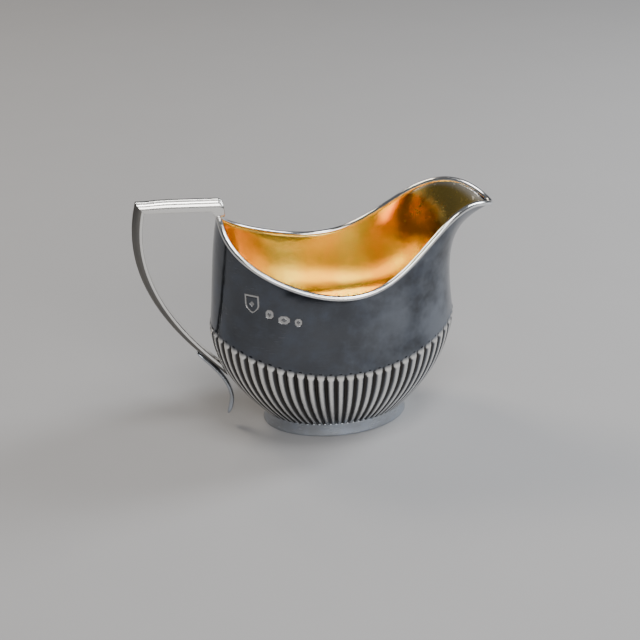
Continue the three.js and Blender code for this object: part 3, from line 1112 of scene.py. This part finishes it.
@dataclass(frozen=True)
class Handle:
    """The reeded handle: a level rail, a strap mitred to it, and a curled tail under the strap.

    Attributes:
        shop: Makes the meshes.
        form: The jug's form.
        corner: The mitre's inner corner, along and up.
        slope: How far the rail falls towards the body, in degrees.
        rail_end: Where the rail ends along the jug.
        width: The handle's width.
        rail_facet: The height of the rail's flat side.
        rail_crown: How far its reeded face rises above that.
        strap: The corner, two guides and the end of the strap's inner face.
        strap_facet: The depth of the strap's flat side at the mitre.
        strap_crown: Its reeded face's rise there.
        end_width: The strap's width where it meets the body.
        end_facet: Its flat side there.
        end_crown: Its reeded face there.
        tail: The start, two guides and the end of the tail's middle line.
        tail_width: The tail's width.
        tail_depth: The tail's thickness.
        seam: Half the gap left in the mitre.
        mitre_facet: Both pieces' flat side at the mitre.
        mitre_crown: Their reeded face there.
        easing: How far along each piece it takes to reach its own section from there.
        hollow_place: Where each hollow between the reeds lies, as a share of the half width.
        hollow_reach: How far it spreads, in the same way.
        hollow_depth: Its depth, as a share of the crown.
        corner_lift: How far the flat face's edges are lifted, as a share of the flat side.
        corner_draw: How far they are drawn in, as a share of the half width.
        turn_down: Between which distances from its end the rail turns down to the wire.
        sink: How far its end stands in the wire.
        bullnose: The length over which its end is rounded.
        bullnose_width: The share of the width left at its very end.
        bullnose_facet: The share of the flat side left there.
        landing: The levels of the wall that the strap's end is cut to lie along.
        bite: How far the strap's end runs on into the wall.
        strap_painted_darkness: How far the strap's reeded face is painted dark, as a painted reflection of
            dark surroundings, from 0 to 1.
        tail_fining: The share of the tail's width left at its end.
        flat_points: Points across a section's flat face.
        side_points: Points up each flat side.
        crown_points: Points over the reeds.
    """

    shop: Workshop
    form: JugForm
    corner: tuple[float, float] = (-64.1, 85.9)
    slope: float = 3.7
    rail_end: float = -37.9
    width: float = 4.8
    rail_facet: float = 1.25
    rail_crown: float = 2.73
    strap: tuple[tuple[float, float], ...] = ((-64.1, 85.9), (-68.5, 66.7), (-59.9, 46.6), (-42.0, 27.1))
    strap_facet: float = 1.1
    strap_crown: float = 2.28
    end_width: float = 3.8
    end_facet: float = 1.0
    end_crown: float = 1.2
    tail: tuple[tuple[float, float], ...] = ((-49.1, 30.8), (-41.7, 23.1), (-34.1, 13.6), (-39.1, 4.3))
    tail_width: float = 4.0
    tail_depth: float = 1.6
    seam: float = 0.02
    mitre_facet: float = 1.15
    mitre_crown: float = 2.3
    easing: float = 9.0
    hollow_place: float = 0.36
    hollow_reach: float = 0.09
    hollow_depth: float = 0.24
    corner_lift: float = 0.10
    corner_draw: float = 0.05
    turn_down: tuple[float, float] = (4.6, 3.0)
    sink: float = 0.5
    bullnose: float = 2.6
    bullnose_width: float = 0.72
    bullnose_facet: float = 0.55
    landing: tuple[float, float] = (0.66, 0.76)
    bite: float = 0.9
    strap_painted_darkness: float = 0.97
    tail_fining: float = 0.8
    flat_points: int = 9
    side_points: int = 4
    crown_points: int = 41

    @staticmethod
    def curve(guides: Sequence[Sequence[float]], share: np.ndarray) -> np.ndarray:
        """A cubic curve: its start, two guides and end, weighed by the powers of the share and its rest.

        Args:
            guides: The four points.
            share: How far along each point lies, from 0 to 1.

        Returns:
            Points in millimetres, shaped (stations, 2).
        """
        start, first, second, end = np.array(guides, float)
        s = share[:, None]
        rest = 1 - s
        return rest**3 * start + 3 * rest**2 * s * first + 3 * rest * s**2 * second + s**3 * end

    def section(
        self, width: np.ndarray, facet: np.ndarray, crown: np.ndarray
    ) -> tuple[np.ndarray, np.ndarray]:
        """The reeded section at each station: flat inside, flat sides and a crown of three reeds.

        The crown is half an oval with two narrow hollows a third of the way in from each side. Its
        corners are rounded, because the outline is drawn in towards its middle there.

        Args:
            width: The width at each station.
            facet: The flat side's depth at each station.
            crown: The crown's rise at each station.

        Returns:
            Depth outwards and place across, each shaped (stations, points).
        """
        flat = np.linspace(1, -1, self.flat_points)
        side = np.linspace(0, 1, self.side_points + 2)[1:-1]
        swing = np.linspace(0, np.pi, self.crown_points)
        across = np.concatenate([flat, -np.ones_like(side), -np.cos(swing), np.ones_like(side)])
        reeds = 1 - self.hollow_depth * self.hollows(swing)
        corner = np.abs(flat) ** 12
        level = np.concatenate([self.corner_lift * corner, side, np.ones_like(swing), side[::-1]])
        bulge = self.over_crown(np.sin(swing) * reeds, 0.0)
        narrow = np.ones_like(across)
        narrow[: self.flat_points] -= self.corner_draw * corner
        depth = facet[:, None] * level + crown[:, None] * bulge
        return depth, width[:, None] / 2 * across * narrow

    def over_crown(self, values: np.ndarray, elsewhere: float) -> np.ndarray:
        """Numbers for a whole section, from those over its crown and one for its flat faces."""
        ends = (self.flat_points + self.side_points, self.side_points)
        return np.pad(values, ends, constant_values=elsewhere)

    def hollows(self, swing: np.ndarray) -> np.ndarray:
        """The two hollows between the reeds: a bell curve about each one's place."""
        return np.exp(-(((np.abs(np.cos(swing)) - self.hollow_place) / self.hollow_reach) ** 2))

    def wear(self, stations: int, painted_darkness: float) -> dict[str, np.ndarray]:
        """How dark the hollows and how bright the reeds and flat sides are painted: dirt and painted shade,
        wear and painted highlight.

        Args:
            stations: The number of sections.
            painted_darkness: How far the whole reeded face is painted dark, as a painted reflection, from 0
                to 1.

        Returns:
            The mesh's numbers for a reeded piece.
        """
        hollow = self.hollows(np.linspace(0, np.pi, self.crown_points))
        # The hollows are painted dark and the reeds pale: partly dirt and wear, partly painted shade and
        # painted highlight.
        soot_and_shade = self.over_crown(np.clip(hollow + painted_darkness, 0, 1), 0.0)
        rubbed_and_highlit = self.over_crown((1 - hollow) * (1 - painted_darkness), 1.0)
        return {"soot_and_shade": np.tile(soot_and_shade, (stations, 1)), "rubbed_and_highlit": np.tile(rubbed_and_highlit, (stations, 1))}

    @staticmethod
    def carried(
        at: np.ndarray, depthway: np.ndarray, depth: np.ndarray, across: np.ndarray
    ) -> np.ndarray:
        """Carries sections along the handle: each station plus the depth along its own direction.

        Args:
            at: The stations, along and up, shaped (stations, 2).
            depthway: The direction of depth at each, in the same way.
            depth: The sections' depths, shaped (stations, points).
            across: Their places across the handle.

        Returns:
            Points in millimetres, shaped (stations, points, 3).
        """
        along = at[:, :1] + depthway[:, :1] * depth
        up = at[:, 1:] + depthway[:, 1:] * depth
        return np.stack([along, across, up], -1)

    def rail_way(self) -> np.ndarray:
        """The rail's direction, from the mitre towards the body."""
        fall = math.radians(self.slope)
        return np.array([math.cos(fall), -math.sin(fall)])

    def strap_way(self) -> np.ndarray:
        """The strap's direction as it leaves the mitre."""
        start, guide = np.array(self.strap[0]), np.array(self.strap[1])
        return unit(guide - start)

    def mitre(self) -> np.ndarray:
        """The mitre's direction: half way between the two pieces, and longer by the half angle's sine.

        Returns:
            How far along and up one unit of depth goes in the mitre.
        """
        rail, strap = self.rail_way(), self.strap_way()
        away = -unit(rail + strap)
        return away / math.sin(math.acos(rail @ strap) / 2)

    def nearness(self, gone: np.ndarray) -> np.ndarray:
        """1 at the mitre, falling to 0 over the easing's length."""
        return (1 - np.clip(gone / self.easing, 0, 1)) ** 2

    def rail(self, material: bpy.types.Material) -> bpy.types.Object:
        """The rail: the reeded section carried level, its end turned down onto the wire and rounded.

        The rounding is the root of 1 less a power of the way from where it starts. Stations lie
        closer together at the mitre and at the turned end.

        Args:
            material: What it is dressed in.

        Returns:
            The finished piece.
        """
        way = self.rail_way()
        upright = np.array([-way[1], way[0]])
        length = (self.rail_end - self.corner[0]) / way[0]
        start = np.array([0.0, 0.002, 0.02, 0.04, 0.06, 0.08, 0.1, 0.13])
        shares = np.concatenate([start, np.linspace(0.16, 0.8, 24), np.linspace(0.805, 1.0, 50)])
        back = (1 - shares) * length
        at = np.array(self.corner) + np.outer(shares * length, way)
        at[:2] += way * self.seam
        perch = self.form.rim(np.array([np.pi]))[0, 2] + self.form.wire - self.sink
        lowering = smooth(*self.turn_down, back) * (at[:, 1] - perch)
        at[:, 1] -= lowering
        gone = np.clip(1 - back / self.bullnose, 0, 1)
        bull = np.sqrt(np.clip(1 - gone**2.2, 0.0004, 1))
        near = self.nearness(shares * length)
        crown = mix(self.rail_crown * bull, self.mitre_crown, near)
        facet = (self.rail_facet + lowering) * mix(self.bullnose_facet, 1.0, bull)
        facet = mix(facet, self.mitre_facet, near)
        width = self.width * mix(self.bullnose_width, 1.0, bull**0.5)
        depth, across = self.section(width, facet, crown)
        depthway = np.tile(upright, (len(at), 1))
        depthway[:2] = self.mitre()
        points = self.carried(at, depthway, depth, across)
        traits = {key: trait[:, ::-1] for key, trait in self.wear(len(at), 0.0).items()}
        return self.shop.piece("reeded_rail", points[:, ::-1], material, traits=traits)

    def strap_piece(self, material: bpy.types.Material) -> bpy.types.Object:
        """The strap: the reeded section carried down its curve, its end cut to lie along the wall.

        It grows finer as the square of the share of its curve.

        Args:
            material: What it is dressed in.

        Returns:
            The finished piece.
        """
        share = np.concatenate([[0.0], np.linspace(0.001, 0.999, 230), [1.0]])
        at = self.curve(self.strap, share)
        ahead = self.curve(self.strap, share + STEP)
        way = unit(ahead - at)
        fining = share**2
        gone = np.cumsum(np.linalg.norm(np.diff(at, axis=0, prepend=at[:1]), axis=-1))
        near = self.nearness(gone)
        depth, across = self.section(
            mix(self.width, self.end_width, fining),
            mix(mix(self.strap_facet, self.end_facet, fining), self.mitre_facet, near),
            mix(mix(self.strap_crown, self.end_crown, fining), self.mitre_crown, near),
        )
        depthway = np.stack([way[:, 1], -way[:, 0]], -1)
        at[:2] += way[0] * self.seam
        depthway[:2] = self.mitre()
        low, high = self.form.wall(np.full(2, np.pi), np.array(self.landing))[:, [0, 2]]
        wallway = unit(low - high)
        depthway[-2:] = wallway / (wallway @ depthway[-1])
        at[-2:] += way[-1] * self.bite
        points = self.carried(at, depthway, depth, across)
        # The strap's reeded face is painted near black, a painted dark reflection.
        traits = self.wear(len(at), self.strap_painted_darkness)
        return self.shop.piece("reeded_strap", points, material, traits=traits)

    def tail_piece(self, material: bpy.types.Material) -> bpy.types.Object:
        """The tail: an oval section carried down its curve, its ends rounded by a steep power.

        Args:
            material: What it is dressed in.

        Returns:
            The finished piece.
        """
        share = 0.5 - 0.5 * np.cos(np.linspace(0.02, np.pi - 0.02, 90))
        at = self.curve(self.tail, share)
        way = unit(self.curve(self.tail, share + STEP) - at)
        fullness = np.sqrt(1 - 0.999 * np.abs(2 * share - 1) ** 9)
        fining = mix(1.0, self.tail_fining, share)
        sides = 28
        turn = np.arange(sides) / sides * TURN
        depth = np.outer(self.tail_depth / 2 * fullness, np.cos(turn))
        across = np.outer(self.tail_width / 2 * fullness * fining, np.sin(turn))
        depthway = np.stack([way[:, 1], -way[:, 0]], -1)
        points = self.carried(at, depthway, depth, across)
        return self.shop.piece("curled_tail", points, material)


# ---------------------------------------------------------------------------- the studio


@dataclass(frozen=True)
class Softbox:
    """A soft area light that faces the jug.

    Attributes:
        name: The light's name.
        place: Where it hangs, in metres.
        size: Its width and height, in metres.
        power: Its power in watts.
        tint: Its colour.
    """

    name: str
    place: tuple[float, float, float]
    size: tuple[float, float]
    power: float
    tint: tuple[float, float, float] = (1.0, 1.0, 1.0)

    def hang(self, target: Vector) -> None:
        """Adds the light.

        Args:
            target: The point that it faces, in metres.
        """
        light = bpy.data.lights.new(self.name, "AREA")
        light.shape = "RECTANGLE"
        light.size, light.size_y = self.size
        light.energy = self.power
        light.color = self.tint
        thing = bpy.data.objects.new(self.name, light)
        thing.location = self.place
        thing.rotation_euler = (target - Vector(self.place)).to_track_quat("-Z", "Y").to_euler()
        bpy.context.scene.collection.objects.link(thing)


@dataclass(frozen=True)
class Studio:
    """A plain pale table, soft lights and the camera.

    Attributes:
        offset: Where the foot's middle stands along X, in metres.
        elevation: How far the camera looks down, in degrees.
        turn: How far it stands round towards the handle from the jug's side, in degrees.
        distance: How far it stands from its target, in metres.
        target: What it looks at, along and up, in millimetres from the foot's middle.
        focal: Its focal length on a 36 mm sensor, in millimetres.
        lights: The soft lights.
        ambience: The dim light from everywhere else.
    """

    offset: float
    elevation: float = 29.5
    turn: float = 12.5
    distance: float = 0.4895
    target: tuple[float, float] = (-5.44, 38.24)
    focal: float = 78.75
    lights: tuple[Softbox, ...] = (
        Softbox("overhead_softbox", (0.12, -0.25, 0.95), (0.36, 0.28), 4.4, (1.0, 0.99, 0.97)),
        Softbox("front_softbox", (0.10, -0.95, 0.55), (1.0, 0.45), 9.0, (1.0, 0.98, 0.95)),
        Softbox("right_softbox", (0.62, 0.12, 0.42), (0.16, 0.55), 4.2, (0.93, 0.97, 1.0)),
        Softbox("back_left_softbox", (-0.42, 0.48, 0.70), (0.25, 0.30), 3.2, (1.0, 0.88, 0.72)),
    )
    ambience: tuple[float, float, float] = (0.10, 0.103, 0.11)

    def set_up(self) -> None:
        """Adds the table, the lights, the ambience and the camera."""
        self._table()
        aim = Vector((self.offset + self.target[0] * MM, 0.0, self.target[1] * MM))
        for light in self.lights:
            light.hang(aim)
        world = bpy.data.worlds.new("studio_air")
        world.use_nodes = True
        world.node_tree.nodes["Background"].inputs["Color"].default_value = (*self.ambience, 1.0)
        bpy.context.scene.world = world
        self._camera(aim)

    @staticmethod
    def _table() -> None:
        """A flat table top, four metres each way, just under the foot."""
        half, drop = 2.0, -0.00002
        corners = [(-half, -half, drop), (half, -half, drop), (half, half, drop), (-half, half, drop)]
        mesh = bpy.data.meshes.new("table_top")
        mesh.from_pydata(corners, [], [(0, 1, 2, 3)])
        mesh.materials.append(TableFinish().material())
        table = bpy.data.objects.new("table_top", mesh)
        bpy.context.scene.collection.objects.link(table)

    def _camera(self, aim: Vector) -> None:
        """Adds the camera at its distance, elevation and turn.

        Args:
            aim: The point that it looks at, in metres.
        """
        down, swing = math.radians(self.elevation), math.radians(self.turn)
        level = math.cos(down)
        forward = Vector((math.sin(swing) * level, math.cos(swing) * level, -math.sin(down)))
        lens = bpy.data.cameras.new("view")
        lens.lens = self.focal
        lens.clip_start = 0.01
        camera = bpy.data.objects.new("view", lens)
        camera.location = aim - forward * self.distance
        camera.rotation_euler = forward.to_track_quat("-Z", "Y").to_euler()
        bpy.context.scene.collection.objects.link(camera)
        bpy.context.scene.camera = camera


# ---------------------------------------------------------------------------- putting it together


def settle(piece: bpy.types.Object, slot: str, *nodes: str) -> None:
    """Lets a piece ride on the jug's one body.

    Args:
        piece: The finished piece.
        slot: The name of a material slot in the record; not used.
        nodes: The frame's nodes that it stands for.
    """
    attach(piece, "root")
    if nodes:
        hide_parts(*nodes)
    LOG.info("settled %s for %s", piece.name, ", ".join(nodes) or "the finish alone")


def main() -> None:
    """Builds every piece in order, dresses it, and sets up the studio."""
    logging.basicConfig(level=logging.INFO, format="%(name)s: %(message)s")
    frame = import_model()
    foot_low, foot_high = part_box("foot_ring")
    offset = (foot_low[0] + foot_high[0]) / 2
    Studio(offset).set_up()

    shop, form = Workshop(offset), JugForm()
    # The plain wall's silver is painted near black as a painted reflection, with painted shade in its
    # grooves and painted highlights on its crowns.
    wall = SilverFinish("painted_dark_wall_silver", Polish.WALL_PAINTED_DARK, PunchMarks(), worked=True).material()
    bright = SilverFinish("bright_wire_silver", Polish.WIRE, waviness=0.00002).material()
    reeded = SilverFinish("reeded_silver", Polish.REEDS, worked=True, waviness=0.00002).material()
    band = SilverFinish("foot_band_silver", Polish.BAND).material()
    underside = SilverFinish("dull_underside_silver", Polish.UNDERSIDE).material()

    body = Body(shop, form)
    settle(body.sheet(wall), "body_silver", "body_shell")
    settle(body.lining(GiltFinish().material()), "gilt")
    settle(body.rim_wire(bright), "wire_silver", "rim_wire")
    settle(Foot(shop).band(band), "body_silver", "foot_ring")
    handle = Handle(shop, form)
    settle(handle.rail(reeded), "wire_silver", "handle_rail")
    settle(handle.strap_piece(reeded), "wire_silver", "handle_strap")
    settle(handle.tail_piece(band), "wire_silver", "handle_tail")
    frame["nodes"]["base_plate"].material_slots[0].material = underside


if __name__ == "__main__":
    main()
